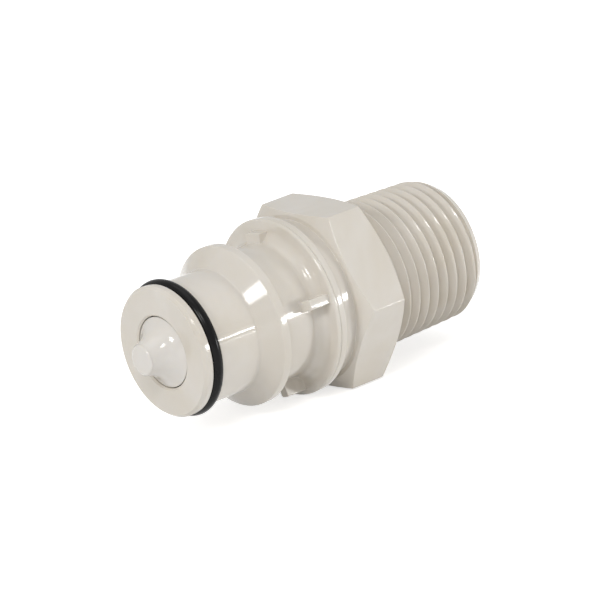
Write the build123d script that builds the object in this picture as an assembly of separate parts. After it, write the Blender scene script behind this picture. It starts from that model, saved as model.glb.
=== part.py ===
from build123d import *
import os
from math import cos, pi, radians, sin, tan

# Valved plastic quick disconnect insert with a 1/2-14 NPT male thread.
# Millimetres.  The flow axis is X: the nose points to -X and the pipe thread to +X.
# The origin is on the axis in the plane of the threaded end, and one flat of the hexagon faces down.
# Stations along the axis are measured from the flat nose face.
# Angles about the axis run from -Y, through +Z at 90 degrees.

# ---- overall ----
LENGTH = 51.0  # nose face to threaded end
HEX_ACROSS_FLATS = 25.4

# ---- insert body, outside ----
FACE_RADIUS = 9.1  # flat part of the nose face
LIP_RADIUS = 9.5
LIP_BEVEL = 0.5
LIP_REAR = 1.45
NOSE_RADIUS = 9.05
RAMP_START = 10.15
RAMP_FOOT_FILLET = 0.5
COLLAR_RADIUS = 11.7
COLLAR_FRONT = 12.35
COLLAR_REAR = 13.7
COLLAR_SHOULDER_FILLET = 0.35
LATCH_GROOVE_RADIUS = 9.9
FLANGE_RADIUS = 12.95
FLANGE_FRONT = 21.2
FLANGE_FOOT_FILLET = 1.7  # concave sweep from the latch groove up to the flange
FLANGE_EDGE_FILLET = 0.35
INSERT_REAR = 21.8
JOINT_BEVEL = 0.12  # on both bodies, so that their joint shows as a fine double line

# ---- lugs in the latch groove ----
LUG_COUNT = 3  # narrow lugs
LUG_ANGLE = 15.0  # of the first one
LUG_SPACING = 90.0
LUG_FRONT = 17.7
LUG_TOP_RADIUS = 12.2
LUG_WIDTH = 1.4
WIDE_LUG_ANGLE = 98.5
WIDE_LUG_FRONT = 19.65
WIDE_LUG_TOP_RADIUS = 11.4
WIDE_LUG_WIDTH = 3.2
LUG_ROOT = 0.4  # how far a lug's solid reaches into the body behind it

# ---- insert body, inside ----
APERTURE_RADIUS = 5.25
APERTURE_BEVEL = 0.25
SEAT_ANGLE = 45.0
SEAT_WIDTH = 1.35  # from the aperture out to the valve bore
RETAINER_SEAT = 14.3
COUNTERBORE_RADIUS = 8.25

# ---- seals ----
SEAL_SECTION_SIDES = 16  # each seal's round section is drawn with this many sides
NOSE_RING_CORD = 1.78
NOSE_RING_CREST_RADIUS = 9.93
NOSE_GROOVE_WIDTH = 1.9

# ---- threaded adapter ----
BAND_RADIUS = 12.9
BAND_REAR = 23.1
BAND_EDGE_FILLET = 0.4
NECK_STEP = 1.0  # from the hexagon's flats down to the neck
HEX_FRONT = 25.5
HEX_REAR = 33.3
HEX_CHAMFER_STEP = 0.4  # from the flats in to where a chamfer cone meets its end face
HEX_CHAMFER_ANGLE = 25.0
HEX_CORNER_FILLET = 0.3
SPIGOT_BORE_RADIUS = 6.2
REAR_BORE_RADIUS = 7.0
REAR_BORE_DEPTH = 26.0

# ---- pipe thread, 1/2-14 NPT ----
THREADS_PER_INCH = 14
TAPER_ON_DIAMETER = 1 / 16
PITCH_DIAMETER_AT_END = 19.264
THREAD_HEIGHT_RATIO = 0.76  # root to crest, both truncated, as a share of the pitch
LEAD_RING_LENGTH = 1.3  # plain ring ahead of the first turn
LEAD_RING_FLANK = 0.4  # length of its slope up from the root
LEAD_RING_END_RADIUS = 9.5

# ---- joint seal ----
JOINT_RING_CORD = 1.0
JOINT_GROOVE_FRONT = 17.6
JOINT_GROOVE_WIDTH = 1.3

# ---- valve ----
TIP_PROTRUSION = 3.7
TIP_RADIUS = 2.2
TIP_EDGE_FILLET = 0.5
RIM_RECESS = 0.3
RIM_THICKNESS = 1.0
VALVE_GROOVE_WIDTH = 1.6
VALVE_RING_CORD = 1.5
VALVE_RING_LAP = 0.45  # how far the ring reaches out past the aperture that it closes
VALVE_FLANGE_THICKNESS = 1.0
SPRING_PILOT_RADIUS = 3.1
SPRING_PILOT_LENGTH = 1.6
STEM_RADIUS = 1.6
STEM_OVERHANG = 2.0  # past the guide hub when the valve is shut

# ---- spring guide ----
GUIDE_THICKNESS = 1.4
GUIDE_RING_INSIDE = 6.7
GUIDE_SPOKES = 4
GUIDE_SPOKE_WIDTH = 1.5
GUIDE_HUB_RADIUS = 3.0
GUIDE_HUB_LENGTH = 4.0

# ---- valve spring ----
SPRING_WIRE = 0.7
SPRING_RADIUS = 3.95  # to the centre of the wire
SPRING_ACTIVE_TURNS = 3.5
SPRING_TURN_GAP = 0.02  # between an end turn and the next
SPRING_POINTS_PER_TURN = 12  # that the wire's curve is drawn through
SPRING_WIRE_FLATS = 8  # the wire is drawn with an eight-sided section

# ---- clearances ----
RIM_CLEARANCE = 0.15  # valve rim in the aperture
VALVE_FLANGE_CLEARANCE = 0.5  # round the valve's flange in its bore, for the flow
SEAL_CLEARANCE = 0.03  # valve seal to the conical seat: the two only just meet
STEM_CLEARANCE = 0.06  # running fit in the guide hub
SPIGOT_CLEARANCE = 0.05
GUIDE_CLEARANCE = 0.05
SPRING_CLEARANCE = 0.05  # at each end of the spring

# ---- worked out from the sizes above ----
PITCH = 25.4 / THREADS_PER_INCH
TAPER = TAPER_ON_DIAMETER / 2
THREAD_HEIGHT = THREAD_HEIGHT_RATIO * PITCH
ROOT_RADIUS_AT_END = PITCH_DIAMETER_AT_END / 2 - THREAD_HEIGHT / 2
LEAD_RING_RADIUS = ROOT_RADIUS_AT_END + THREAD_HEIGHT
HEX_CORNER_RADIUS = HEX_ACROSS_FLATS / 2 / cos(radians(30))
HEX_CHAMFER_RADIUS = HEX_ACROSS_FLATS / 2 - HEX_CHAMFER_STEP
NECK_RADIUS = HEX_ACROSS_FLATS / 2 - NECK_STEP
NOSE_GROOVE_FLOOR = NOSE_RING_CREST_RADIUS - NOSE_RING_CORD
NOSE_GROOVE_REAR = LIP_REAR + NOSE_GROOVE_WIDTH
SPIGOT_RADIUS = COUNTERBORE_RADIUS - SPIGOT_CLEARANCE
SPIGOT_FRONT = RETAINER_SEAT + GUIDE_THICKNESS
JOINT_GROOVE_REAR = JOINT_GROOVE_FRONT + JOINT_GROOVE_WIDTH
JOINT_GROOVE_FLOOR = COUNTERBORE_RADIUS - JOINT_RING_CORD
RIM_RADIUS = APERTURE_RADIUS - RIM_CLEARANCE
VALVE_BORE_RADIUS = APERTURE_RADIUS + SEAT_WIDTH
VALVE_FLANGE_RADIUS = VALVE_BORE_RADIUS - VALVE_FLANGE_CLEARANCE
VALVE_GROOVE_RADIUS = APERTURE_RADIUS + VALVE_RING_LAP - VALVE_RING_CORD
RIM_REAR = RIM_RECESS + RIM_THICKNESS
VALVE_GROOVE_REAR = RIM_REAR + VALVE_GROOVE_WIDTH
VALVE_FLANGE_REAR = VALVE_GROOVE_REAR + VALVE_FLANGE_THICKNESS
PILOT_REAR = VALVE_FLANGE_REAR + SPRING_PILOT_LENGTH
STEM_REAR = RETAINER_SEAT + GUIDE_HUB_LENGTH + STEM_OVERHANG
VALVE_RING_RADIUS = VALVE_GROOVE_RADIUS + VALVE_RING_CORD / 2
VALVE_RING_CENTRE = VALVE_GROOVE_REAR - VALVE_RING_CORD / 2


def at(station, radius):
    """Point of a half section, from its station behind the nose face and its radius."""
    return (station - LENGTH, radius)


def turned(*points):
    """Solid turned about the flow axis from a closed half section."""
    return revolve(make_face(Polyline(*points, close=True)), Axis.X)


def seal_ring(station, radius, cord):
    """Seal ring about the flow axis, its cord drawn with flats."""
    return revolve(Pos(*at(station, radius)) * RegularPolygon(cord / 2, SEAL_SECTION_SIDES), Axis.X)


def circle_edges(part, station, radius):
    """Circular edges about the flow axis at one station and radius."""
    found = []
    for edge in part.edges().filter_by(GeomType.CIRCLE):
        off_station = abs(edge.arc_center.X - (station - LENGTH))
        if off_station < 0.01 and abs(edge.radius - radius) < 0.01:
            found.append(edge)
    return found


def root_radius(station):
    """Radius of the pipe thread's tapered root at a station."""
    return ROOT_RADIUS_AT_END + (LENGTH - station) * TAPER


def seat_front():
    """Station where the conical seat leaves the aperture, held off the valve seal by its clearance."""
    seat = radians(SEAT_ANGLE)
    reach = VALVE_RING_CORD / 2 + SEAL_CLEARANCE
    return VALVE_RING_CENTRE - reach / sin(seat) - (VALVE_RING_RADIUS - APERTURE_RADIUS) / tan(seat)


def seat_rear():
    """Station where the conical seat reaches the valve bore."""
    return seat_front() + (VALVE_BORE_RADIUS - APERTURE_RADIUS) / tan(radians(SEAT_ANGLE))


def lug(angle, front, top_radius, width):
    """Rectangular lug on the floor of the latch groove, running back into the flange."""
    length = FLANGE_FRONT + LUG_ROOT - front
    foot = LATCH_GROOVE_RADIUS - LUG_ROOT
    block = Box(length, width, top_radius - foot, align=(Align.MIN, Align.CENTER, Align.MIN))
    return Rot(90 - angle, 0, 0) * Pos(front - LENGTH, 0, foot) * block


def insert_body():
    """Front body: sealing nose, ramped collar, latch groove with lugs, swept flange and valve bore."""
    body = turned(
        at(0, APERTURE_RADIUS + APERTURE_BEVEL),
        at(0, FACE_RADIUS),
        at(LIP_BEVEL, LIP_RADIUS),
        at(LIP_REAR, LIP_RADIUS),
        at(LIP_REAR, NOSE_GROOVE_FLOOR),
        at(NOSE_GROOVE_REAR, NOSE_GROOVE_FLOOR),
        at(NOSE_GROOVE_REAR, NOSE_RADIUS),
        at(RAMP_START, NOSE_RADIUS),
        at(COLLAR_FRONT, COLLAR_RADIUS),
        at(COLLAR_REAR, COLLAR_RADIUS),
        at(COLLAR_REAR, LATCH_GROOVE_RADIUS),
        at(FLANGE_FRONT, LATCH_GROOVE_RADIUS),
        at(FLANGE_FRONT, FLANGE_RADIUS),
        at(INSERT_REAR - JOINT_BEVEL, FLANGE_RADIUS),
        at(INSERT_REAR, FLANGE_RADIUS - JOINT_BEVEL),
        at(INSERT_REAR, COUNTERBORE_RADIUS),
        at(RETAINER_SEAT, COUNTERBORE_RADIUS),
        at(RETAINER_SEAT, VALVE_BORE_RADIUS),
        at(seat_rear(), VALVE_BORE_RADIUS),
        at(seat_front(), APERTURE_RADIUS),
        at(APERTURE_BEVEL, APERTURE_RADIUS),
    )
    body = fillet(circle_edges(body, RAMP_START, NOSE_RADIUS), RAMP_FOOT_FILLET)
    body = fillet(circle_edges(body, COLLAR_FRONT, COLLAR_RADIUS), COLLAR_SHOULDER_FILLET)
    body = fillet(circle_edges(body, FLANGE_FRONT, LATCH_GROOVE_RADIUS), FLANGE_FOOT_FILLET)
    body = fillet(circle_edges(body, FLANGE_FRONT, FLANGE_RADIUS), FLANGE_EDGE_FILLET)
    for number in range(LUG_COUNT):
        body += lug(LUG_ANGLE - number * LUG_SPACING, LUG_FRONT, LUG_TOP_RADIUS, LUG_WIDTH)
    body += lug(WIDE_LUG_ANGLE, WIDE_LUG_FRONT, WIDE_LUG_TOP_RADIUS, WIDE_LUG_WIDTH)
    return body


def hexagon():
    """Wrenching hexagon, one flat down, with conical chamfers at both ends."""
    profile = Plane.YZ.offset(HEX_FRONT - LENGTH) * RegularPolygon(HEX_CORNER_RADIUS, 6, rotation=0)
    prism = extrude(profile, HEX_REAR - HEX_FRONT)
    prism = fillet(prism.edges().filter_by(Axis.X), HEX_CORNER_FILLET)
    reach = (HEX_CORNER_RADIUS - HEX_CHAMFER_RADIUS) * tan(radians(HEX_CHAMFER_ANGLE))
    envelope = turned(
        at(HEX_FRONT, 0),
        at(HEX_FRONT, HEX_CHAMFER_RADIUS),
        at(HEX_FRONT + reach, HEX_CORNER_RADIUS),
        at(HEX_REAR - reach, HEX_CORNER_RADIUS),
        at(HEX_REAR, HEX_CHAMFER_RADIUS),
        at(HEX_REAR, 0),
    )
    return prism & envelope


def threaded_adapter():
    """Rear body: spigot into the insert, band, neck, hexagon, and the tapered pipe thread at its root."""
    step_rear = LENGTH - REAR_BORE_DEPTH
    step_front = step_rear - (REAR_BORE_RADIUS - SPIGOT_BORE_RADIUS)
    shell = turned(
        at(SPIGOT_FRONT, 0),
        at(SPIGOT_FRONT, SPIGOT_RADIUS),
        at(JOINT_GROOVE_FRONT, SPIGOT_RADIUS),
        at(JOINT_GROOVE_FRONT, JOINT_GROOVE_FLOOR),
        at(JOINT_GROOVE_REAR, JOINT_GROOVE_FLOOR),
        at(JOINT_GROOVE_REAR, SPIGOT_RADIUS),
        at(INSERT_REAR, SPIGOT_RADIUS),
        at(INSERT_REAR, BAND_RADIUS - JOINT_BEVEL),
        at(INSERT_REAR + JOINT_BEVEL, BAND_RADIUS),
        at(BAND_REAR, BAND_RADIUS),
        at(BAND_REAR, NECK_RADIUS),
        at(HEX_REAR, NECK_RADIUS),
        at(HEX_REAR, root_radius(HEX_REAR)),
        at(LENGTH - LEAD_RING_LENGTH, root_radius(LENGTH - LEAD_RING_LENGTH)),
        at(LENGTH - LEAD_RING_LENGTH + LEAD_RING_FLANK, LEAD_RING_RADIUS),
        at(LENGTH - LEAD_RING_RADIUS + LEAD_RING_END_RADIUS, LEAD_RING_RADIUS),
        at(LENGTH, LEAD_RING_END_RADIUS),
        at(LENGTH, 0),
    )
    shell = fillet(circle_edges(shell, BAND_REAR, BAND_RADIUS), BAND_EDGE_FILLET)
    passage = turned(
        at(SPIGOT_FRONT, 0),
        at(SPIGOT_FRONT, SPIGOT_BORE_RADIUS),
        at(step_front, SPIGOT_BORE_RADIUS),
        at(step_rear, REAR_BORE_RADIUS),
        at(LENGTH, REAR_BORE_RADIUS),
        at(LENGTH, 0),
    )
    return shell + hexagon() - passage


def valve_poppet():
    """Valve: flared nub that the mating half pushes, rim, seal groove, flange, spring pilot and stem."""
    flare = TIP_PROTRUSION + RIM_RECESS
    outline = Polyline(
        at(STEM_REAR, 0),
        at(STEM_REAR, STEM_RADIUS),
        at(PILOT_REAR, STEM_RADIUS),
        at(PILOT_REAR, SPRING_PILOT_RADIUS),
        at(VALVE_FLANGE_REAR, SPRING_PILOT_RADIUS),
        at(VALVE_FLANGE_REAR, VALVE_FLANGE_RADIUS),
        at(VALVE_GROOVE_REAR, VALVE_FLANGE_RADIUS),
        at(VALVE_GROOVE_REAR, VALVE_GROOVE_RADIUS),
        at(RIM_REAR, VALVE_GROOVE_RADIUS),
        at(RIM_REAR, RIM_RADIUS),
        at(RIM_RECESS, RIM_RADIUS),
    )
    tip = Polyline(at(-TIP_PROTRUSION, TIP_RADIUS), at(-TIP_PROTRUSION, 0), at(STEM_REAR, 0))
    sweep = Bezier(
        at(RIM_RECESS, RIM_RADIUS),
        at(RIM_RECESS - flare * 0.25, RIM_RADIUS - (RIM_RADIUS - TIP_RADIUS) * 0.75),
        at(-TIP_PROTRUSION, TIP_RADIUS),
    )
    poppet = revolve(make_face(outline + sweep + tip), Axis.X)
    return fillet(circle_edges(poppet, -TIP_PROTRUSION, TIP_RADIUS), TIP_EDGE_FILLET)


def spring_guide():
    """Ring held between the two bodies, with spokes to a hub that guides the stem and seats the spring."""
    rim = turned(
        at(RETAINER_SEAT, GUIDE_RING_INSIDE),
        at(RETAINER_SEAT, COUNTERBORE_RADIUS - GUIDE_CLEARANCE),
        at(SPIGOT_FRONT, COUNTERBORE_RADIUS - GUIDE_CLEARANCE),
        at(SPIGOT_FRONT, GUIDE_RING_INSIDE),
    )
    hub_rear = RETAINER_SEAT + GUIDE_HUB_LENGTH
    hub = turned(
        at(RETAINER_SEAT, 0),
        at(RETAINER_SEAT, GUIDE_HUB_RADIUS),
        at(hub_rear, GUIDE_HUB_RADIUS),
        at(hub_rear, 0),
    )
    reach = (GUIDE_RING_INSIDE + COUNTERBORE_RADIUS) / 2
    spoke = Pos(RETAINER_SEAT - LENGTH, 0, 0) * Box(
        GUIDE_THICKNESS, GUIDE_SPOKE_WIDTH, reach, align=(Align.MIN, Align.CENTER, Align.MIN)
    )
    guide = rim + hub
    for number in range(GUIDE_SPOKES):
        guide += Rot(number * 360 / GUIDE_SPOKES, 0, 0) * spoke
    stem_hole = turned(
        at(RETAINER_SEAT, 0),
        at(RETAINER_SEAT, STEM_RADIUS + STEM_CLEARANCE),
        at(hub_rear, STEM_RADIUS + STEM_CLEARANCE),
        at(hub_rear, 0),
    )
    return guide - stem_hole


def valve_spring():
    """Compression spring round the stem, with a closed turn at each end."""
    front = VALVE_FLANGE_REAR + SPRING_CLEARANCE + SPRING_WIRE / 2
    rear = RETAINER_SEAT - SPRING_CLEARANCE - SPRING_WIRE / 2
    closed = SPRING_WIRE + SPRING_TURN_GAP
    active = rear - front - 2 * closed
    steps = round(SPRING_ACTIVE_TURNS * SPRING_POINTS_PER_TURN)
    stations = [closed * step / SPRING_POINTS_PER_TURN for step in range(SPRING_POINTS_PER_TURN)]
    stations += [closed + active * step / steps for step in range(steps)]
    stations += [closed + active + station for station in stations[:SPRING_POINTS_PER_TURN]]
    stations.append(rear - front)
    points = []
    for step, station in enumerate(stations):
        angle = 2 * pi * step / SPRING_POINTS_PER_TURN
        points.append((front - LENGTH + station, -SPRING_RADIUS * cos(angle), SPRING_RADIUS * sin(angle)))
    path = Spline(*points)
    section = Plane(origin=path @ 0, z_dir=path % 0) * RegularPolygon(SPRING_WIRE / 2, SPRING_WIRE_FLATS)
    return sweep(section, path=path, is_frenet=True)


def nose_seal_ring():
    """Seal ring in the groove behind the nose lip."""
    radius = NOSE_GROOVE_FLOOR + NOSE_RING_CORD / 2
    return seal_ring(LIP_REAR + NOSE_GROOVE_WIDTH / 2, radius, NOSE_RING_CORD)


def valve_seal_ring():
    """Seal ring that closes the valve on the conical seat."""
    return seal_ring(VALVE_RING_CENTRE, VALVE_RING_RADIUS, VALVE_RING_CORD)


def joint_seal_ring():
    """Seal ring between the two bodies."""
    radius = JOINT_GROOVE_FLOOR + JOINT_RING_CORD / 2
    return seal_ring(JOINT_GROOVE_FRONT + JOINT_GROOVE_WIDTH / 2, radius, JOINT_RING_CORD)


NODES = {
    "insert_body": insert_body,
    "threaded_adapter": threaded_adapter,
    "nose_seal_ring": nose_seal_ring,
    "valve_poppet": valve_poppet,
    "valve_seal_ring": valve_seal_ring,
    "valve_spring": valve_spring,
    "spring_guide": spring_guide,
    "joint_seal_ring": joint_seal_ring,
}

os.makedirs("parts", exist_ok=True)
for name, build in NODES.items():
    export_step(build(), f"parts/{name}.step")
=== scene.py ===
import math

import bmesh
import bpy
from bpy.props import FloatProperty, FloatVectorProperty, IntProperty, PointerProperty
from bpy.types import Operator, Panel, PropertyGroup
from mathutils import Matrix, Vector


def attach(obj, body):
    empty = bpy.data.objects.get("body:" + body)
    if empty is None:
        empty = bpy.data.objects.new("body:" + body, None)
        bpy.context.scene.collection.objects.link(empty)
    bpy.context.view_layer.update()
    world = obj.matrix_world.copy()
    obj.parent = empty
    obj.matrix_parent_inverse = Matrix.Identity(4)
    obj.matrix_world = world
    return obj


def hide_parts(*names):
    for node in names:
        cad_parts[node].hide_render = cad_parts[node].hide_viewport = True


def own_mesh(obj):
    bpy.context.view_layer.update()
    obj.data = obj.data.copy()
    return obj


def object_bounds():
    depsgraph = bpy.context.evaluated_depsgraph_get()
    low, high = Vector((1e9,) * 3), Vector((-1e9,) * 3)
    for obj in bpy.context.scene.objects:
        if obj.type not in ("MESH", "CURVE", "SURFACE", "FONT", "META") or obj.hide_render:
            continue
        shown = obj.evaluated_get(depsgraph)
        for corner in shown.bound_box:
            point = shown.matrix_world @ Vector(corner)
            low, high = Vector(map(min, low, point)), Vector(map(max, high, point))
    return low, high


bl_info = {
    "name": "Quick Disconnect Insert",
    "version": (1, 0, 0),
    "blender": (4, 5, 0),
    "location": "View3D > Sidebar > Coupling",
    "description": "Pieces, materials and studio for a valved plastic quick disconnect insert",
    "category": "Add Mesh",
}

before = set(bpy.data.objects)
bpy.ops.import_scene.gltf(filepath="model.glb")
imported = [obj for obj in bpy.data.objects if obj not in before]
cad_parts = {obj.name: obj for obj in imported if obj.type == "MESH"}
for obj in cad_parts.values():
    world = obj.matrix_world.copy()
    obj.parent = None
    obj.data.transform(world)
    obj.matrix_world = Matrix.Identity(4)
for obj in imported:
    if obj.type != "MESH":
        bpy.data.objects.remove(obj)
CAD_BOX = [list(corner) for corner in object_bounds()]
COUPLING = "coupling"
VALVE = "valve"
TURN = 2 * math.pi
MERGE = 1e-7  # points of a skin nearer than this are one point
LEAN = 2e-5  # moulded walls lean by this, so that foot and crown are not in one place
SHARP_EDGE = 38  # degrees between faces from which an edge is not shaded smooth
TURNED_SIDES = 256
ADAPTER_SIDES = 240
NEAR_ANGLE = 0.004  # an even section nearer than this to one of a lug's own is left out
CORNER_OFFSETS = (-0.8, -0.6, -0.4, -0.2, 0.2, 0.4, 0.6, 0.8)  # degrees, round a hexagon corner
LUG_FOOT = 1.5  # hollow rounding at a lug's foot, against the moulded edge
LUG_CROWN = 1.6  # rounding of a lug's top, against the moulded edge
FLARE_STEPS = 24
FLARE_KNEE = (0.25, 0.75)  # where the nub's flare bends, as shares of its reach and its rise
CORD_SIDES = 48
FLASH_SPREAD = 0.09  # width of the mould line, as the sine of its angle round the cord
COIL_STEPS = 40
COIL_GAP = 2e-5  # between the wire of a closed turn and the next
CHAMFER_STEPS = 4
FLOOR_HALF = 3.0
NOSE = (-0.04, 0, 0)
SOFTBOXES = (  # name, its power setting, width, height, place, what it points at
    ("key_softbox", "key", 0.13, 0.09, (-0.30, -0.26, 0.34), NOSE),
    ("top_softbox", "top", 0.5, 0.4, (-0.08, 0.05, 0.55), (-0.02, 0, 0)),
    ("front_softbox", "front", 0.115, 0.105, (-0.52, -0.095, 0.25), NOSE),
    ("side_softbox", "side", 0.10, 0.05, (0.24, -0.34, 0.015), (-0.03, 0, 0)),
)


def size(name, millimetres, description):
    """Length property kept in metres."""
    return FloatProperty(
        name=name,
        description=description,
        default=millimetres / 1000,
        min=0.0,
        precision=5,
        subtype="DISTANCE",
        unit="LENGTH",
    )


def turn(name, degrees, description):
    """Angle property."""
    return FloatProperty(
        name=name,
        description=description,
        default=math.radians(degrees),
        subtype="ANGLE",
        unit="ROTATION",
    )


def amount(name, value, description):
    """Plain number property."""
    return FloatProperty(name=name, description=description, default=value, precision=4)


def tint(name, value, description):
    """Colour property."""
    return FloatVectorProperty(
        name=name,
        description=description,
        default=value,
        size=3,
        min=0.0,
        max=1.0,
        subtype="COLOR",
    )


class InsertSizes(PropertyGroup):
    length: size("Length", 51.0, "Nose face to threaded end")
    face_radius: size("Face radius", 9.1, "Flat part of the nose face")
    lip_radius: size("Lip radius", 9.5, "Lip in front of the nose seal")
    lip_bevel: size("Lip bevel", 0.5, "Bevel between the nose face and the lip")
    lip_rear: size("Lip rear", 1.45, "Where the seal groove starts")
    seal_groove_width: size("Seal groove width", 1.9, "Groove of the nose seal")
    seal_groove_floor: size("Seal groove floor", 8.15, "Radius of that groove's floor")
    nose_radius: size("Nose radius", 9.05, "Nose cylinder")
    ramp_start: size("Ramp start", 10.15, "Where the ramp leaves the nose cylinder")
    ramp_foot: size("Ramp foot", 0.5, "Hollow rounding at the foot of the ramp")
    collar_radius: size("Collar radius", 11.7, "Latch collar")
    collar_front: size("Collar front", 12.35, "Top of the ramp")
    collar_rear: size("Collar rear", 13.7, "Latching edge")
    collar_shoulder: size("Collar shoulder", 0.35, "Rounding at the top of the ramp")
    latch_groove_radius: size("Latch groove radius", 9.9, "Floor of the latch groove")
    flange_front: size("Flange front", 21.2, "Front face of the flange")
    flange_radius: size("Flange radius", 12.95, "Flange rim")
    flange_foot: size("Flange foot", 1.7, "Hollow sweep up to the flange")
    flange_edge: size("Flange edge", 0.35, "Rounding of the flange's front edge")
    flange_rear: size("Flange rear", 21.8, "Joint with the adapter")
    joint_bevel: size("Joint bevel", 0.12, "Bevel along the joint")
    edge: size("Moulded edge", 0.12, "Small rounding of the other edges")
    lug_front: size("Lug front", 17.7, "Front of the narrow lugs in the latch groove")
    lug_radius: size("Lug radius", 12.2, "Top of the narrow lugs")
    lug_width: size("Lug width", 1.4, "Across one narrow lug")
    lug_count: IntProperty(name="Lugs", description="Narrow lugs in the groove", default=3, min=1)
    lug_angle: turn("Lug angle", 15.0, "Angle of the first narrow lug about the axis")
    lug_spacing: turn("Lug spacing", 90.0, "From one narrow lug to the next")
    wide_lug_front: size("Wide lug front", 19.65, "Front of the wide lug")
    wide_lug_radius: size("Wide lug radius", 11.4, "Top of the wide lug")
    wide_lug_width: size("Wide lug width", 3.2, "Across the wide lug")
    wide_lug_angle: turn("Wide lug angle", 98.5, "Angle of the wide lug")
    aperture_radius: size("Aperture radius", 5.25, "Opening for the valve")
    aperture_bevel: size("Aperture bevel", 0.25, "Bevel round that opening")
    seat_front: size("Seat front", 0.993, "Front of the conical valve seat")
    valve_bore: size("Valve bore", 6.6, "Bore behind the seat")
    counterbore: size("Counterbore", 8.25, "Bore that takes the adapter's spigot")
    guide_seat: size("Guide seat", 14.3, "Shoulder that holds the spring guide")


class AdapterSizes(PropertyGroup):
    band_radius: size("Band radius", 12.9, "Band behind the joint")
    band_rear: size("Band rear", 23.1, "Rear of the band")
    band_edge: size("Band edge", 0.4, "Rounding of the band's rear edge")
    neck_radius: size("Neck radius", 11.7, "Neck in front of the hexagon")
    hex_front: size("Hexagon front", 25.5, "Front face of the hexagon")
    hex_rear: size("Hexagon rear", 33.3, "Rear face of the hexagon")
    hex_flats: size("Across flats", 25.4, "Across flats of the hexagon")
    hex_face: size("Hexagon face radius", 12.3, "Where the chamfer meets an end face")
    hex_chamfer: turn("Hexagon chamfer", 25.0, "Chamfer from the end face")
    hex_corner: size("Hexagon corner", 0.3, "Rounding of the six corners")
    hex_edge: size("Hexagon edge", 0.16, "Rounding of the chamfers' edges")
    spigot_front: size("Spigot front", 15.7, "Front of the spigot")
    spigot_radius: size("Spigot radius", 8.2, "Spigot inside the insert")
    spigot_bore: size("Spigot bore", 6.2, "Passage through the spigot")
    rear_bore: size("Rear bore", 7.0, "Passage behind the thread")
    rear_bore_depth: size("Rear bore depth", 26.0, "How deep that passage is")
    joint_groove_front: size("Joint groove front", 17.6, "Groove of the joint seal")
    joint_groove_width: size("Joint groove width", 1.3, "Width of that groove")
    joint_groove_floor: size("Joint groove floor", 7.25, "Radius of that groove's floor")
    pitch: size("Thread pitch", 25.4 / 14, "Fourteen turns an inch")
    thread_root: size("Thread root", 8.943, "Radius of the thread's root at its end")
    thread_height: size("Thread height", 1.379, "Root to crest")
    thread_flat: size("Thread flat", 0.0555, "Half width of a crest or root flat")
    thread_round: size("Thread rounding", 0.07, "Rounding of crests and roots")
    thread_start: amount("Thread start", 0.53, "Turns by which the crests are moved along the axis")
    thread_run_in: size("Run in", 1.5, "Length over which the first turn rises behind the hexagon")
    lead_ring: size("Lead ring", 1.3, "Length of the plain ring at the end of the thread")
    lead_flank: size("Lead flank", 0.4, "Length of the slope up to that ring")
    lead_radius: size("Lead ring radius", 9.5, "Ring radius in the end plane")
    lead_slope: amount("Lead slope", 0.55, "Rise of the end chamfer against its length")
    taper: amount("Taper", 1 / 32, "Growth of the radius along the thread")


class ValveSizes(PropertyGroup):
    tip_reach: size("Tip reach", 3.7, "How far the nub stands out of the nose")
    tip_radius: size("Tip radius", 2.2, "End of the nub")
    tip_edge: size("Tip edge", 0.5, "Rounding of that end")
    rim_radius: size("Rim radius", 5.1, "Rim in the aperture")
    rim_recess: size("Rim recess", 0.3, "Rim behind the nose face")
    rim_rear: size("Rim rear", 1.3, "Front wall of the seal groove")
    groove_radius: size("Groove radius", 4.2, "Floor of the seal groove")
    groove_rear: size("Groove rear", 2.9, "Rear wall of the seal groove")
    flange_radius: size("Flange radius", 6.1, "Flange behind the seal")
    flange_rear: size("Flange rear", 3.9, "Rear of that flange")
    pilot_radius: size("Pilot radius", 3.1, "Boss that centres the spring")
    pilot_rear: size("Pilot rear", 5.5, "End of that boss")
    stem_radius: size("Stem radius", 1.6, "Stem through the guide")
    stem_rear: size("Stem rear", 20.3, "End of the stem")
    spring_wire: size("Spring wire", 0.7, "Thickness of the spring's wire")
    spring_radius: size("Spring radius", 3.95, "Radius to the middle of the wire")
    spring_front: size("Spring front", 4.3, "Middle of the wire at the front end")
    spring_rear: size("Spring rear", 13.9, "Middle of the wire at the rear end")
    spring_turns: amount("Active turns", 3.5, "Turns between the two closed ones")
    spring_travel: size("Spring travel", 4.0, "How far the valve presses it")


class SealSizes(PropertyGroup):
    cord: size("Cord", 1.78, "Thickness of the nose seal")
    crest: size("Crest", 9.93, "Outer radius of the nose seal")
    flash: size("Flash", 0.012, "Height of the mould line round the seal")


class FinishSettings(PropertyGroup):
    body: tint("Body plastic", (0.71, 0.67, 0.61), "Moulded ivory plastic")
    body_warm: tint("Body plastic, warm", (0.67, 0.62, 0.54), "Warmer clouds in the ivory plastic")
    valve: tint("Valve plastic", (0.74, 0.71, 0.67), "Slightly whiter plastic of the valve")
    valve_warm: tint("Valve plastic, warm", (0.71, 0.67, 0.61), "Warmer clouds in it")
    rubber: tint("Rubber", (0.004, 0.004, 0.0043), "Black seal rubber")
    rubber_pale: tint("Rubber, pale", (0.008, 0.0077, 0.0076), "Its paler bloom")
    steel: tint("Spring steel", (0.60, 0.60, 0.61), "Drawn steel wire")
    steel_dark: tint("Spring steel, dark", (0.42, 0.41, 0.41), "Darker draw marks")
    gloss: amount("Plastic roughness", 0.1, "Roughness of the moulded plastic")


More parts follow.
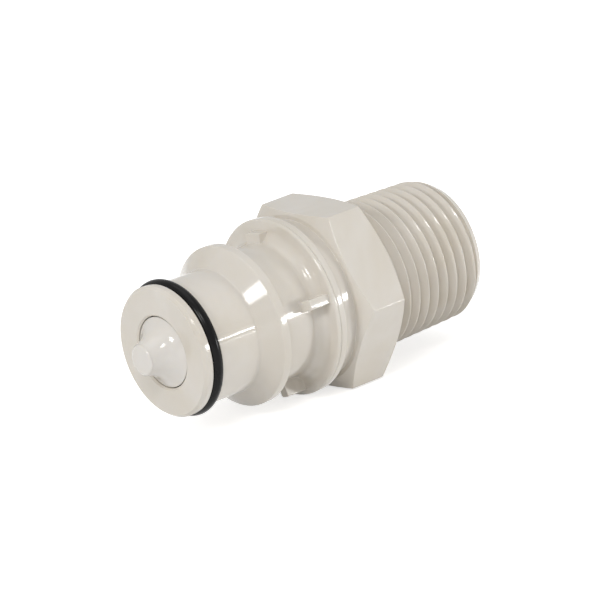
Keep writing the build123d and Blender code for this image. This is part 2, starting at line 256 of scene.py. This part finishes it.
class StudioSettings(PropertyGroup):
    aim: FloatVectorProperty(
        name="Aim",
        description="Point in the middle of the view",
        default=(-0.01684, 0.01161, -0.00466),
        size=3,
        precision=5,
        subtype="XYZ",
        unit="LENGTH",
    )
    distance: size("Distance", 720.9, "Camera to the aim point")
    azimuth: turn("Azimuth", -37.64, "Camera angle round the object")
    elevation: turn("Elevation", 17.23, "Camera angle above the floor")
    roll: turn("Roll", 8.33, "Tilt of the camera about its view")
    lens: amount("Lens", 300.0, "Focal length in millimetres")
    ambient: amount("Ambient", 0.48, "Strength of the surrounding light")
    paper_glow: amount("Paper glow", 0.64, "Added where the floor is seen: white outside the shadow")
    key: amount("Key", 0.46, "Power of the small key softbox in watts")
    top: amount("Top", 0.5, "Power of the wide top softbox in watts")
    front: amount("Front", 0.62, "Power of the front softbox in watts")
    side: amount("Side", 0.5, "Power of the low side softbox in watts")


# ---- sections ----

def at(station, radius):
    """Point of a half section, from its station behind the nose face and its radius."""
    return station - bpy.context.scene.insert_sizes.length, radius


def rounded(corners, closed=True, steps=4):
    """Points of a half section whose corners (point, rounding) are turned into arcs."""
    points = []
    count = len(corners)
    for index, (corner, radius) in enumerate(corners):
        ends = not closed and index in (0, count - 1)
        if radius <= 0 or ends:
            points.append(corner)
            continue
        here = Vector(corner)
        back = (Vector(corners[index - 1][0]) - here).normalized()
        ahead = (Vector(corners[(index + 1) % count][0]) - here).normalized()
        opening = back.angle(ahead)
        reach = radius / math.tan(opening / 2)
        centre = here + (back + ahead).normalized() * (radius / math.sin(opening / 2))
        start = here + back * reach - centre
        stop = ahead * reach + here - centre
        swing = math.pi - opening
        if start.x * stop.y - start.y * stop.x < 0:
            swing = -swing
        for step in range(steps + 1):
            angle = swing * step / steps
            x = start.x * math.cos(angle) - start.y * math.sin(angle)
            y = start.x * math.sin(angle) + start.y * math.cos(angle)
            points.append((centre.x + x, centre.y + y))
    return points


def with_stops(points, low, high, stops):
    """The same points, with more put in on the runs towards +X between two radii."""
    result = []
    for index, point in enumerate(points):
        result.append(point)
        following = points[(index + 1) % len(points)]
        if low - MERGE <= point[1] <= following[1] <= high and following[0] > point[0]:
            for stop in sorted(stops):
                if point[0] < stop < following[0]:
                    part = (stop - point[0]) / (following[0] - point[0])
                    result.append((stop, point[1] + (following[1] - point[1]) * part))
    return result


def wall(height, foot, crown, steps=4):
    """(offset, share of the height) across a moulded wall, from hollow foot to round crown."""
    table = []
    for step in range(steps + 1):
        along = foot * step / steps
        rise = foot - math.sqrt(max(foot**2 - along**2, 0))
        table.append((along - foot - LEAN, rise / height))
    for step in range(steps + 1):
        along = crown * step / steps
        drop = crown - math.sqrt(max(crown**2 - (crown - along) ** 2, 0))
        table.append((along + LEAN, 1 - drop / height))
    return table


def share(table, offset):
    """Height share at an offset across such a wall."""
    if offset <= table[0][0]:
        return 0.0
    for (a, low), (b, high) in zip(table, table[1:]):
        if offset <= b:
            return low + (high - low) * (offset - a) / (b - a)
    return 1.0


def even_turn(count):
    """Evenly spaced angles from 0 to a full turn, both included."""
    return [TURN * step / count for step in range(count + 1)]


# ---- meshes ----

def skin(name, sections, angles):
    """Mesh through closed half sections, one at each angle; the last meets the first."""
    mesh = bpy.data.meshes.new(name)
    shape = bmesh.new()
    rings = []
    for section, angle in zip(sections, angles):
        across, up = -math.cos(angle), math.sin(angle)
        rings.append([shape.verts.new((x, r * across, r * up)) for x, r in section])
    for ring, following in zip(rings, rings[1:]):
        for index, corner in enumerate(ring):
            beside = (index + 1) % len(ring)
            shape.faces.new((corner, ring[beside], following[beside], following[index]))
    bmesh.ops.remove_doubles(shape, verts=shape.verts, dist=MERGE)
    bmesh.ops.dissolve_degenerate(shape, dist=MERGE, edges=shape.edges)
    bmesh.ops.recalc_face_normals(shape, faces=shape.faces)
    shape.to_mesh(mesh)
    shape.free()
    return finished(name, mesh)


def finished(name, mesh):
    """Object with soft shading inside its moulded edges."""
    mesh.shade_smooth()
    mesh.set_sharp_from_angle(angle=math.radians(SHARP_EDGE))
    piece = bpy.data.objects.new(name, mesh)
    bpy.context.scene.collection.objects.link(piece)
    weights = piece.modifiers.new("face_weighted_shading", "WEIGHTED_NORMAL")
    weights.keep_sharp = True
    return piece


def lathe(name, outline):
    """Turned mesh of one closed half section."""
    angles = even_turn(TURNED_SIDES)
    return skin(name, [outline] * len(angles), angles)


def tube(name, path, radius, sides=16):
    """Closed mesh tube of round wire along a path, with flat ends."""
    mesh = bpy.data.meshes.new(name)
    shape = bmesh.new()
    rings = []
    for index, point in enumerate(path):
        ahead = path[min(index + 1, len(path) - 1)] - path[max(index - 1, 0)]
        ahead.normalize()
        out = Vector((0, point.y, point.z)).normalized()
        side = ahead.cross(out).normalized()
        out = side.cross(ahead)
        ring = []
        for step in range(sides):
            angle = TURN * step / sides
            corner = point + out * math.cos(angle) * radius + side * math.sin(angle) * radius
            ring.append(shape.verts.new(corner))
        rings.append(ring)
    for ring, following in zip(rings, rings[1:]):
        for index in range(sides):
            beside = (index + 1) % sides
            shape.faces.new((ring[index], ring[beside], following[beside], following[index]))
    for ring in (rings[0], rings[-1]):
        shape.faces.new(ring)
    bmesh.ops.recalc_face_normals(shape, faces=shape.faces)
    shape.to_mesh(mesh)
    shape.free()
    return finished(name, mesh)


# ---- shader groups ----

def group_socket(group, name, kind, way, default=None):
    """New socket of a node group."""
    socket = group.interface.new_socket(name=name, in_out=way, socket_type=kind)
    if default is not None:
        socket.default_value = default
    return socket


def clouded_colour():
    """Colour that drifts between two shades, as a moulded or mixed material does."""
    group = bpy.data.node_groups.get("clouded_colour")
    if group:
        return group
    group = bpy.data.node_groups.new("clouded_colour", "ShaderNodeTree")
    group_socket(group, "Shade", "NodeSocketColor", "INPUT", (0.8, 0.8, 0.8, 1.0))
    group_socket(group, "Second Shade", "NodeSocketColor", "INPUT", (0.7, 0.7, 0.7, 1.0))
    group_socket(group, "Cloud Scale", "NodeSocketFloat", "INPUT", 120.0)
    group_socket(group, "Color", "NodeSocketColor", "OUTPUT")
    nodes, links = group.nodes, group.links
    given = nodes.new("NodeGroupInput")
    out = nodes.new("NodeGroupOutput")
    place = nodes.new("ShaderNodeTexCoord")
    clouds = nodes.new("ShaderNodeTexNoise")
    clouds.inputs["Detail"].default_value = 3.0
    clouds.inputs["Roughness"].default_value = 0.55
    clouds.inputs["Distortion"].default_value = 0.6
    band = nodes.new("ShaderNodeMapRange")
    band.inputs["From Min"].default_value = 0.35
    band.inputs["From Max"].default_value = 0.68
    blend = nodes.new("ShaderNodeMix")
    blend.data_type = "RGBA"
    links.new(place.outputs["Object"], clouds.inputs["Vector"])
    links.new(given.outputs["Cloud Scale"], clouds.inputs["Scale"])
    links.new(clouds.outputs["Fac"], band.inputs["Value"])
    links.new(band.outputs[0], blend.inputs["Factor"])
    links.new(given.outputs["Shade"], blend.inputs["A"])
    links.new(given.outputs["Second Shade"], blend.inputs["B"])
    links.new(blend.outputs["Result"], out.inputs["Color"])
    return group


def fine_surface():
    """Height and roughness: a slow ripple under small grain, with faint rubbed spots."""
    group = bpy.data.node_groups.get("fine_surface")
    if group:
        return group
    group = bpy.data.node_groups.new("fine_surface", "ShaderNodeTree")
    group_socket(group, "Ripple Scale", "NodeSocketFloat", "INPUT", 250.0)
    group_socket(group, "Grain Scale", "NodeSocketFloat", "INPUT", 3000.0)
    group_socket(group, "Grain Share", "NodeSocketFloat", "INPUT", 0.2)
    group_socket(group, "Roughness", "NodeSocketFloat", "INPUT", 0.3)
    group_socket(group, "Roughness Spread", "NodeSocketFloat", "INPUT", 0.08)
    group_socket(group, "Height", "NodeSocketFloat", "OUTPUT")
    group_socket(group, "Surface Roughness", "NodeSocketFloat", "OUTPUT")
    nodes, links = group.nodes, group.links
    given = nodes.new("NodeGroupInput")
    out = nodes.new("NodeGroupOutput")
    place = nodes.new("ShaderNodeTexCoord")
    ripple = nodes.new("ShaderNodeTexNoise")
    ripple.inputs["Detail"].default_value = 1.0
    grain = nodes.new("ShaderNodeTexNoise")
    grain.inputs["Detail"].default_value = 2.0
    both = nodes.new("ShaderNodeMath")
    both.operation = "MULTIPLY_ADD"
    rubbed = nodes.new("ShaderNodeTexNoise")
    rubbed.inputs["Scale"].default_value = 420.0
    rubbed.inputs["Detail"].default_value = 5.0
    rubbed.inputs["Roughness"].default_value = 0.7
    centred = nodes.new("ShaderNodeMath")
    centred.operation = "SUBTRACT"
    centred.inputs[1].default_value = 0.5
    rough = nodes.new("ShaderNodeMath")
    rough.operation = "MULTIPLY_ADD"
    rough.use_clamp = True
    for texture in (ripple, grain, rubbed):
        links.new(place.outputs["Object"], texture.inputs["Vector"])
    links.new(given.outputs["Ripple Scale"], ripple.inputs["Scale"])
    links.new(given.outputs["Grain Scale"], grain.inputs["Scale"])
    links.new(grain.outputs["Fac"], both.inputs[0])
    links.new(given.outputs["Grain Share"], both.inputs[1])
    links.new(ripple.outputs["Fac"], both.inputs[2])
    links.new(rubbed.outputs["Fac"], centred.inputs[0])
    links.new(centred.outputs[0], rough.inputs[0])
    links.new(given.outputs["Roughness Spread"], rough.inputs[1])
    links.new(given.outputs["Roughness"], rough.inputs[2])
    links.new(both.outputs[0], out.inputs["Height"])
    links.new(rough.outputs[0], out.inputs["Surface Roughness"])
    return group


def surface(name, shades, clouds, ripple, grain, grain_share, rough, spread, bump, constants):
    """Material from the two groups, with fixed values on the shader's own sockets."""
    material = bpy.data.materials.get(name)
    if material:
        return material
    material = bpy.data.materials.new(name)
    material.use_nodes = True
    nodes, links = material.node_tree.nodes, material.node_tree.links
    shader = nodes["Principled BSDF"]
    colour = nodes.new("ShaderNodeGroup")
    colour.node_tree = clouded_colour()
    colour.inputs["Shade"].default_value = (*shades[0], 1.0)
    colour.inputs["Second Shade"].default_value = (*shades[1], 1.0)
    colour.inputs["Cloud Scale"].default_value = clouds
    relief = nodes.new("ShaderNodeGroup")
    relief.node_tree = fine_surface()
    relief.inputs["Ripple Scale"].default_value = ripple
    relief.inputs["Grain Scale"].default_value = grain
    relief.inputs["Grain Share"].default_value = grain_share
    relief.inputs["Roughness"].default_value = rough
    relief.inputs["Roughness Spread"].default_value = spread
    raised = nodes.new("ShaderNodeBump")
    raised.inputs["Strength"].default_value = 1.0
    raised.inputs["Distance"].default_value = bump
    links.new(colour.outputs["Color"], shader.inputs["Base Color"])
    links.new(relief.outputs["Surface Roughness"], shader.inputs["Roughness"])
    links.new(relief.outputs["Height"], raised.inputs["Height"])
    links.new(raised.outputs["Normal"], shader.inputs["Normal"])
    for socket, value in constants.items():
        shader.inputs[socket].default_value = value
    return material


def plastic(name, shade, warm):
    """Glossy moulded plastic that lets a little light in."""
    finish = bpy.context.scene.finish_settings
    return surface(
        name,
        (shade, warm),
        clouds=90.0,
        ripple=260.0,
        grain=2600.0,
        grain_share=0.05,
        rough=finish.gloss,
        spread=0.06,
        bump=1.2e-5,
        constants={
            "IOR": 1.5,
            "Subsurface Weight": 0.1,
            "Subsurface Radius": (1.0, 0.8, 0.5),
            "Subsurface Scale": 0.0005,
        },
    )


def body_plastic():
    """Ivory plastic of the two bodies."""
    finish = bpy.context.scene.finish_settings
    return plastic("ivory_moulding", finish.body, finish.body_warm)


def valve_plastic():
    """Whiter plastic of the valve and its guide."""
    finish = bpy.context.scene.finish_settings
    return plastic("white_moulding", finish.valve, finish.valve_warm)


def seal_rubber():
    """Black rubber of the seals."""
    finish = bpy.context.scene.finish_settings
    return surface(
        "black_ring_rubber",
        (finish.rubber, finish.rubber_pale),
        clouds=400.0,
        ripple=900.0,
        grain=7000.0,
        grain_share=0.5,
        rough=0.2,
        spread=0.12,
        bump=6e-6,
        constants={"IOR": 1.5, "Specular IOR Level": 0.16},
    )


def spring_steel():
    """Drawn steel of the valve spring."""
    finish = bpy.context.scene.finish_settings
    return surface(
        "drawn_wire",
        (finish.steel, finish.steel_dark),
        clouds=900.0,
        ripple=1500.0,
        grain=9000.0,
        grain_share=0.6,
        rough=0.28,
        spread=0.2,
        bump=4e-6,
        constants={"Metallic": 1.0},
    )


def dress(piece, material, body, slot, *nodes):
    """Gives a new piece its material and body, and hides the CAD nodes it stands for; its slot
    argument is not used.
    """
    piece.data.materials.append(material)
    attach(piece, body)
    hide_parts(*nodes)


def redress(node, material):
    """Gives a kept CAD node its material."""
    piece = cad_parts[node]
    if not piece.material_slots:
        piece.data.materials.append(material)
    for holder in piece.material_slots:
        holder.material = material


# ---- pieces ----

def over_lugs(lugs, floor, rear, length, angle, x, radius):
    """Radius of an outline point after the lugs are raised on the groove's floor."""
    highest = radius
    for centre, front, top, width, edges in lugs:
        if floor - MERGE <= radius < top and front - length + edges[0][0] <= x <= rear:
            away = abs((angle - centre + math.pi) % TURN - math.pi)
            rise = share(edges, width / 2 - away * (top + floor) / 2)
            along = share(edges, x - front + length)
            highest = max(highest, radius + (top - radius) * rise * along)
    return highest


class COUPLING_OT_insert_body(Operator):
    """Front body with its nose, ramped collar, latch groove, lugs and swept flange"""

    bl_idname = "coupling.insert_body"
    bl_label = "Insert Body"

    def execute(self, context):
        s = context.scene.insert_sizes
        groove_rear = s.lip_rear + s.seal_groove_width
        outline = rounded([
            (at(0, s.aperture_radius + s.aperture_bevel), s.edge / 2),
            (at(0, s.face_radius), s.edge),
            (at(s.lip_bevel, s.lip_radius), s.edge),
            (at(s.lip_rear, s.lip_radius), s.edge),
            (at(s.lip_rear, s.seal_groove_floor), 0),
            (at(groove_rear, s.seal_groove_floor), 0),
            (at(groove_rear, s.nose_radius), s.edge),
            (at(s.ramp_start, s.nose_radius), s.ramp_foot),
            (at(s.collar_front, s.collar_radius), s.collar_shoulder),
            (at(s.collar_rear, s.collar_radius), s.edge),
            (at(s.collar_rear, s.latch_groove_radius), s.edge * 2),
            (at(s.flange_front, s.latch_groove_radius), s.flange_foot),
            (at(s.flange_front, s.flange_radius), s.flange_edge),
            (at(s.flange_rear - s.joint_bevel, s.flange_radius), s.joint_bevel / 2),
            (at(s.flange_rear, s.flange_radius - s.joint_bevel), s.joint_bevel / 3),
            (at(s.flange_rear, s.counterbore), 0),
            (at(s.guide_seat, s.counterbore), 0),
            (at(s.guide_seat, s.valve_bore), 0),
            (at(s.seat_front + s.valve_bore - s.aperture_radius, s.valve_bore), 0),
            (at(s.seat_front, s.aperture_radius), 0),
            (at(s.aperture_bevel, s.aperture_radius), s.edge / 2),
        ], steps=6)
        floor = s.latch_groove_radius
        rear = s.flange_front - s.length + MERGE
        wide = (s.wide_lug_angle, s.wide_lug_front, s.wide_lug_radius, s.wide_lug_width)
        narrow = [
            (s.lug_angle - number * s.lug_spacing, s.lug_front, s.lug_radius, s.lug_width)
            for number in range(s.lug_count)
        ]
        lugs = []
        angles = set()
        for centre, front, top, width in [wide] + narrow:
            edges = wall(top - floor, s.edge * LUG_FOOT, s.edge * LUG_CROWN)
            lugs.append((centre, front, top, width, edges))
            stops = [front - s.length + offset for offset, _ in edges]
            outline = with_stops(outline, floor, top, stops)
            for offset, _ in edges:
                swing = (width / 2 - offset) * 2 / (top + floor)
                angles.update(((centre + swing) % TURN, (centre - swing) % TURN))
        near = sorted(angles)
        for angle in even_turn(TURNED_SIDES):
            if all(abs(angle - other) > NEAR_ANGLE for other in near) or angle in (0, TURN):
                angles.add(angle)
        angles = sorted(angles)
        sections = [
            [(x, over_lugs(lugs, floor, rear, s.length, angle, x, radius)) for x, radius in outline]
            for angle in angles
        ]
        piece = skin("insert_shell", sections, angles)
        dress(piece, body_plastic(), COUPLING, "body_plastic", "insert_body")
        return {"FINISHED"}


def hexagon_radius(s, angle):
    """Radius of the hexagon, one flat down, with its corners rounded."""
    apothem = s.hex_flats / 2
    from_corner = abs((angle + math.pi / 6) % (math.pi / 3) - math.pi / 6)
    centre = (apothem - s.hex_corner) / math.cos(math.pi / 6)
    tangent = math.atan2(s.hex_corner / 2, centre + s.hex_corner * math.cos(math.pi / 6))
    if from_corner < tangent:
        inside = s.hex_corner**2 - (centre * math.sin(from_corner)) ** 2
        return centre * math.cos(from_corner) + math.sqrt(max(inside, 0))
    return apothem / math.cos(math.pi / 6 - from_corner)


def thread_form(s):
    """(place in the pitch from 0 to 1, height), from the middle of one root to the next."""
    flank = s.pitch / 2 - 2 * s.thread_flat
    corners = [
        ((0, 0), 0),
        ((s.thread_flat, 0), s.thread_round),
        ((s.thread_flat + flank, s.thread_height), s.thread_round),
        ((s.thread_flat * 3 + flank, s.thread_height), s.thread_round),
        ((s.thread_flat * 3 + flank * 2, 0), s.thread_round),
        ((s.pitch, 0), 0),
    ]
    points = rounded(corners, closed=False, steps=3)
    form = []
    for (x, height), (after, following) in zip(points, points[1:]):
        form.append((x / s.pitch, height))
        if after - x > flank / 2:
            for part in (0.25, 0.5, 0.75):
                place = (x + (after - x) * part) / s.pitch
                form.append((place, height + (following - height) * part))
    return form + [(1.0, 0.0)]


def smooth_step(value):
    """0 to 1 with a soft start and end."""
    value = min(max(value, 0), 1)
    return value * value * (3 - 2 * value)


def thread_line(s, form, angle, front, rear):
    """The threaded stretch of one half section, front to rear."""
    shift = s.thread_start - angle / TURN
    first = math.floor((front - rear) / s.pitch) - 2
    stations = []
    for turn_number in range(first, 3):
        for place, _ in form:
            station = rear + s.pitch * (turn_number + place + shift)
            stations.append(min(max(station, front), rear))
    chamfer = (s.thread_root + s.thread_height - s.lead_radius) / s.lead_slope
    for step in range(CHAMFER_STEPS + 1):
        stations.append(rear - s.lead_ring + s.lead_flank * step / CHAMFER_STEPS)
    for step in range(1, CHAMFER_STEPS + 1):
        stations.append(rear - chamfer * step / CHAMFER_STEPS)
    line = []
    for x in sorted(stations):
        root = s.thread_root + (rear - x) * s.taper
        height = share(form, ((x - rear) / s.pitch - shift) % 1)
        rise = smooth_step((x - front) / s.thread_run_in)
        radius = root + height * rise
        ring = min(max((x - rear + s.lead_ring) / s.lead_flank, 0), 1)
        radius += (s.thread_root + s.thread_height - radius) * ring
        line.append((x, min(radius, s.lead_radius + (rear - x) * s.lead_slope)))
    return line


class COUPLING_OT_threaded_adapter(Operator):
    """Rear body with its band, neck, hexagon, tapered pipe thread and bore"""

    bl_idname = "coupling.threaded_adapter"
    bl_label = "Threaded Adapter"

    def execute(self, context):
        base = context.scene.insert_sizes
        s = context.scene.adapter_sizes
        form = thread_form(s)
        step_rear = base.length - s.rear_bore_depth
        step_front = step_rear - (s.rear_bore - s.spigot_bore)
        groove_rear = s.joint_groove_front + s.joint_groove_width
        rear = 0.0
        front = s.hex_rear - base.length
        first_radius = s.thread_root + (rear - front) * s.taper
        angles = set(even_turn(ADAPTER_SIDES))
        for corner in range(7):
            for offset in CORNER_OFFSETS:
                angle = math.radians(corner * 60 + offset)
                if 0 < angle < TURN:
                    angles.add(angle)
        angles = sorted(angles)
        sections = []
        for angle in angles:
            flat = hexagon_radius(s, angle)
            reach = (flat - s.hex_face) * math.tan(s.hex_chamfer)
            section = rounded([
                (at(base.length, s.rear_bore), base.edge * 2),
                (at(step_rear, s.rear_bore), 0),
                (at(step_front, s.spigot_bore), 0),
                (at(s.spigot_front, s.spigot_bore), base.edge),
                (at(s.spigot_front, s.spigot_radius), base.edge),
                (at(s.joint_groove_front, s.spigot_radius), 0),
                (at(s.joint_groove_front, s.joint_groove_floor), 0),
                (at(groove_rear, s.joint_groove_floor), 0),
                (at(groove_rear, s.spigot_radius), 0),
                (at(base.flange_rear, s.spigot_radius), 0),
                (at(base.flange_rear, s.band_radius - base.joint_bevel), base.joint_bevel / 3),
                (at(base.flange_rear + base.joint_bevel, s.band_radius), base.joint_bevel / 2),
                (at(s.band_rear, s.band_radius), s.band_edge),
                (at(s.band_rear, s.neck_radius), base.edge),
                (at(s.hex_front, s.neck_radius), base.edge),
                (at(s.hex_front, s.hex_face), s.hex_edge),
                (at(s.hex_front + reach, flat), s.hex_edge),
                (at(s.hex_rear - reach, flat), s.hex_edge),
                (at(s.hex_rear, s.hex_face), s.hex_edge),
                (at(s.hex_rear, first_radius), 0),
            ], closed=False)
            section += thread_line(s, form, angle, front, rear)[1:]
            sections.append(section)
        piece = skin("adapter_shell", sections, angles)
        dress(piece, body_plastic(), COUPLING, "body_plastic", "threaded_adapter")
        return {"FINISHED"}


class COUPLING_OT_valve(Operator):
    """Push valve with its flared nub, and the hidden seal behind its rim"""

    bl_idname = "coupling.valve"
    bl_label = "Valve"

    def execute(self, context):
        edge = context.scene.insert_sizes.edge
        s = context.scene.valve_sizes
        flare = s.tip_reach + s.rim_recess
        start = Vector(at(s.rim_recess, s.rim_radius))
        rise = s.rim_radius - s.tip_radius
        knee = Vector(at(s.rim_recess - flare * FLARE_KNEE[0], s.rim_radius - rise * FLARE_KNEE[1]))
        end = Vector(at(-s.tip_reach, s.tip_radius))
        sweep = []
        for step in range(1, FLARE_STEPS):
            t = step / FLARE_STEPS
            sweep.append((tuple(start * (1 - t) ** 2 + knee * (2 * t * (1 - t)) + end * t * t), 0))
        outline = rounded([
            (at(s.stem_rear, 0), 0),
            (at(s.stem_rear, s.stem_radius), edge * 3),
            (at(s.pilot_rear, s.stem_radius), edge * 2),
            (at(s.pilot_rear, s.pilot_radius), edge * 2),
            (at(s.flange_rear, s.pilot_radius), edge),
            (at(s.flange_rear, s.flange_radius), edge),
            (at(s.groove_rear, s.flange_radius), edge),
            (at(s.groove_rear, s.groove_radius), 0),
            (at(s.rim_rear, s.groove_radius), 0),
            (at(s.rim_rear, s.rim_radius), edge / 2),
            (at(s.rim_recess, s.rim_radius), 0),
            *sweep,
            (tuple(end), s.tip_edge),
            (at(-s.tip_reach, 0), 0),
        ], steps=7)
        piece = lathe("valve_nub", outline)
        dress(piece, valve_plastic(), VALVE, "valve_plastic", "valve_poppet")
        redress("valve_seal_ring", seal_rubber())
        return {"FINISHED"}


class COUPLING_OT_seals(Operator):
    """Black seal behind the nose lip, and the hidden one in the joint"""

    bl_idname = "coupling.seals"
    bl_label = "Seals"

    def execute(self, context):
        body = context.scene.insert_sizes
        s = context.scene.seal_sizes
        middle = at(body.lip_rear + body.seal_groove_width / 2, s.crest - s.cord / 2)
        outline = []
        for step in range(CORD_SIDES):
            angle = TURN * step / CORD_SIDES
            line = math.exp(-((math.sin(angle) / FLASH_SPREAD) ** 2))
            radius = s.cord / 2 - s.flash + s.flash * line
            x = middle[0] + radius * math.sin(angle)
            outline.append((x, middle[1] + radius * math.cos(angle)))
        piece = lathe("nose_seal", outline)
        dress(piece, seal_rubber(), COUPLING, "seal_rubber", "nose_seal_ring")
        redress("joint_seal_ring", seal_rubber())
        return {"FINISHED"}


class COUPLING_OT_spring(Operator):
    """Valve spring with its closed ends, and the spoked guide it stands on"""

    bl_idname = "coupling.spring"
    bl_label = "Spring and Guide"

    def execute(self, context):
        s = context.scene.valve_sizes
        closed = s.spring_wire + COIL_GAP
        whole = s.spring_rear - s.spring_front
        turns = s.spring_turns + 2
        path = []
        steps = int(turns * COIL_STEPS)
        for step in range(steps + 1):
            done = turns * step / steps
            if done < 1:
                along = closed * done
            elif done > turns - 1:
                along = whole - closed * (turns - done)
            else:
                along = closed + (whole - 2 * closed) * (done - 1) / s.spring_turns
            x = at(s.spring_front + along, 0)[0]
            angle = TURN * done
            across, up = -s.spring_radius * math.cos(angle), s.spring_radius * math.sin(angle)
            path.append(Vector((x, across, up)))
        piece = tube("spring_coil", path, s.spring_wire / 2)
        dress(piece, spring_steel(), COUPLING, "spring_steel", "valve_spring")
        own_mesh(piece)
        redress("spring_guide", valve_plastic())
        return {"FINISHED"}


# ---- studio ----

def seen_white(nodes, links, plain, white):
    """Shader that is white to the camera and in reflections, and plain for the light it gives."""
    path = nodes.new("ShaderNodeLightPath")
    seen = path.outputs["Is Camera Ray"]
    for ray in ("Is Glossy Ray", "Is Transmission Ray"):
        either = nodes.new("ShaderNodeMath")
        either.operation = "MAXIMUM"
        links.new(seen, either.inputs[0])
        links.new(path.outputs[ray], either.inputs[1])
        seen = either.outputs[0]
    mix = nodes.new("ShaderNodeMixShader")
    links.new(seen, mix.inputs["Fac"])
    links.new(plain.outputs[0], mix.inputs[1])
    links.new(white.outputs[0], mix.inputs[2])
    return mix


def softbox(name, power, across, up, place, aim):
    """Rectangular lamp at a place, turned to an aim point."""
    lamp = bpy.data.lights.new(name, "AREA")
    lamp.shape = "RECTANGLE"
    lamp.size = across
    lamp.size_y = up
    lamp.energy = power
    box = bpy.data.objects.new(name, lamp)
    box.location = place
    box.rotation_mode = "QUATERNION"
    box.rotation_quaternion = (Vector(aim) - Vector(place)).to_track_quat("-Z", "Y")
    bpy.context.scene.collection.objects.link(box)


class COUPLING_OT_studio(Operator):
    """White floor, soft light and the camera"""

    bl_idname = "coupling.studio"
    bl_label = "Studio"

    def execute(self, context):
        scene = context.scene
        s = scene.studio_settings
        floor_mesh = bpy.data.meshes.new("floor")
        half = FLOOR_HALF
        low = CAD_BOX[0][2]
        corners = [(-half, -half, low), (half, -half, low), (half, half, low), (-half, half, low)]
        floor_mesh.from_pydata(corners, [], [(0, 1, 2, 3)])
        floor = bpy.data.objects.new("floor", floor_mesh)
        scene.collection.objects.link(floor)
        paper = bpy.data.materials.new("white_paper")
        paper.use_nodes = True
        nodes, links = paper.node_tree.nodes, paper.node_tree.links
        nodes["Principled BSDF"].inputs["Base Color"].default_value = (0.85, 0.85, 0.85, 1)
        nodes["Principled BSDF"].inputs["Roughness"].default_value = 0.9
        glow = nodes.new("ShaderNodeEmission")
        glow.inputs["Strength"].default_value = s.paper_glow
        lit = nodes.new("ShaderNodeAddShader")
        links.new(nodes["Principled BSDF"].outputs[0], lit.inputs[0])
        links.new(glow.outputs[0], lit.inputs[1])
        mix = seen_white(nodes, links, nodes["Principled BSDF"], lit)
        links.new(mix.outputs[0], nodes["Material Output"].inputs["Surface"])
        floor_mesh.materials.append(paper)

        world = bpy.data.worlds.new("white_room")
        world.use_nodes = True
        nodes, links = world.node_tree.nodes, world.node_tree.links
        room = nodes["Background"]
        room.inputs["Color"].default_value = (1, 1, 1, 1)
        room.inputs["Strength"].default_value = s.ambient
        white = nodes.new("ShaderNodeBackground")
        white.inputs["Strength"].default_value = 1.0
        mix = seen_white(nodes, links, room, white)
        links.new(mix.outputs[0], nodes["World Output"].inputs["Surface"])
        scene.world = world

        for name, power, across, up, place, aim in SOFTBOXES:
            softbox(name, getattr(s, power), across, up, place, aim)

        lens = bpy.data.cameras.new("camera")
        lens.lens = s.lens
        lens.sensor_width = 36.0
        lens.clip_start = 0.01
        lens.clip_end = 20.0
        camera = bpy.data.objects.new("camera", lens)
        back = Vector((
            math.sin(s.azimuth) * math.cos(s.elevation),
            -math.cos(s.azimuth) * math.cos(s.elevation),
            math.sin(s.elevation),
        ))
        camera.rotation_mode = "QUATERNION"
        upright = (-back).to_track_quat("-Z", "Y")
        camera.rotation_quaternion = Matrix.Rotation(s.roll, 4, -back).to_quaternion() @ upright
        camera.location = Vector(s.aim) + back * s.distance
        scene.collection.objects.link(camera)
        scene.camera = camera
        scene.view_settings.view_transform = "Standard"
        return {"FINISHED"}


class COUPLING_PT_pieces(Panel):
    """Pieces and settings of the coupling"""

    bl_label = "Quick Disconnect Insert"
    bl_idname = "COUPLING_PT_pieces"
    bl_space_type = "VIEW_3D"
    bl_region_type = "UI"
    bl_category = "Coupling"

    def draw(self, context):
        for step in STEPS:
            self.layout.operator(step.bl_idname)
        for name in SETTINGS:
            group = getattr(context.scene, name)
            box = self.layout.box()
            box.label(text=name.replace("_", " ").title())
            for key in group.__annotations__:
                box.prop(group, key)


SETTINGS = {
    "insert_sizes": InsertSizes,
    "adapter_sizes": AdapterSizes,
    "valve_sizes": ValveSizes,
    "seal_sizes": SealSizes,
    "finish_settings": FinishSettings,
    "studio_settings": StudioSettings,
}
STEPS = (
    COUPLING_OT_insert_body,
    COUPLING_OT_threaded_adapter,
    COUPLING_OT_valve,
    COUPLING_OT_seals,
    COUPLING_OT_spring,
    COUPLING_OT_studio,
)
CLASSES = (*SETTINGS.values(), *STEPS, COUPLING_PT_pieces)


def register():
    for item in CLASSES:
        bpy.utils.register_class(item)
    for name, group in SETTINGS.items():
        setattr(bpy.types.Scene, name, PointerProperty(type=group))


def unregister():
    for name in SETTINGS:
        delattr(bpy.types.Scene, name)
    for item in reversed(CLASSES):
        bpy.utils.unregister_class(item)


def main():
    register()
    bpy.ops.coupling.insert_body()
    bpy.ops.coupling.threaded_adapter()
    bpy.ops.coupling.valve()
    bpy.ops.coupling.seals()
    bpy.ops.coupling.spring()
    bpy.ops.coupling.studio()


if __name__ == "__main__":
    main()
